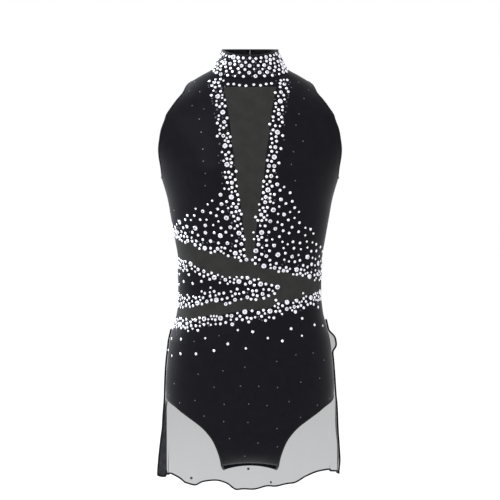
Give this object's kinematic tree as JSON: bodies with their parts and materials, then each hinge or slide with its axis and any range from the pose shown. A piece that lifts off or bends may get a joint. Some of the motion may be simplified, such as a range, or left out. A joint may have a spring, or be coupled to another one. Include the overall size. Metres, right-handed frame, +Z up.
{
  "type": "gymnastics leotard",
  "caption": "Sleeveless high-collar black competition leotard with sheer front inserts, crystal trim, centre back zip and a sheer back skirt with an open front.",
  "frame": {"origin": "centre of the waist, where the wearer's waist fills the garment", "axes": "+Z up the wearer, -Y out of the wearer's front, +X to the wearer's left"},
  "size_m": [0.3347, 0.2762, 0.8376],
  "materials": {
    "black_spandex": "matte stretch knit",
    "black_mesh": "fine sheer mesh over a dark lining",
    "sheer_mesh": "sheer mesh",
    "lining": "soft knit",
    "elastic": "woven elastic",
    "crystal": "foil-backed faceted",
    "zip_coil": "nylon coil",
    "black_enamelled_metal": "black enamel"
  },
  "bodies": {
    "garment": {"collar_outer": "black_spandex", "front_neck_band": "black_spandex", "front_bodice_left": "black_spandex", "front_bodice_right": "black_spandex", "waist_wedge": "black_spandex", "front_brief": "black_spandex", "back_bodice_left": "black_spandex", "back_bodice_right": "black_spandex", "back_brief": "black_spandex", "crotch_gusset": "black_spandex", "mesh_centre_strip": "black_mesh", "mesh_waist_band": "black_mesh", "collar_lining": "lining", "gusset_lining": "lining", "collar_top_binding": "elastic", "armhole_binding_left": "elastic", "armhole_binding_right": "elastic", "leg_elastic_left": "elastic", "leg_elastic_right": "elastic", "side_seam_tape_left": "elastic", "side_seam_tape_right": "elastic", "shoulder_seam_tape_left": "elastic", "shoulder_seam_tape_right": "elastic", "hip_seam_tape": "elastic", "zip_tape_left": "elastic", "zip_tape_right": "elastic", "crystals_brief_top": "crystal", "crystals_bodice_edge_right": "crystal", "crystals_bodice_edge_left": "crystal", "crystals_wedge_top": "crystal", "crystals_wedge_bottom": "crystal", "crystals_strip_left": "crystal", "crystals_strip_right": "crystal", "crystals_neck_row": "crystal", "crystals_collar": "crystal", "zip_coil_left": "zip_coil", "zip_coil_right": "zip_coil", "zip_top_stop_left": "black_enamelled_metal", "zip_top_stop_right": "black_enamelled_metal", "zip_bottom_stop": "black_enamelled_metal", "collar_hook": "black_enamelled_metal", "collar_eye": "black_enamelled_metal"},
    "skirt": {"skirt_panel": "sheer_mesh", "skirt_hem": "elastic"},
    "zip_slider_body": {"zip_slider": "black_enamelled_metal"},
    "zip_pull_body": {"zip_pull": "black_enamelled_metal"}
  },
  "joints": [
    {"name": "skirt_swing", "type": "hinge", "parent": "garment", "child": "skirt", "pos_m": [0, 0, -0.071], "axis": [1, 0, 0], "range_deg": [0, 30]},
    {"name": "zip_slide", "type": "slide", "parent": "garment", "child": "zip_slider_body", "axis": [0, 0.2102, -0.9777], "range_m": [0, 0.218]},
    {"name": "zip_pull_swing", "type": "hinge", "parent": "zip_slider_body", "child": "zip_pull_body", "pos_m": [0, 0.0567, 0.40439], "axis": [1, 0, 0], "range_deg": [0, 160]}
  ]
}
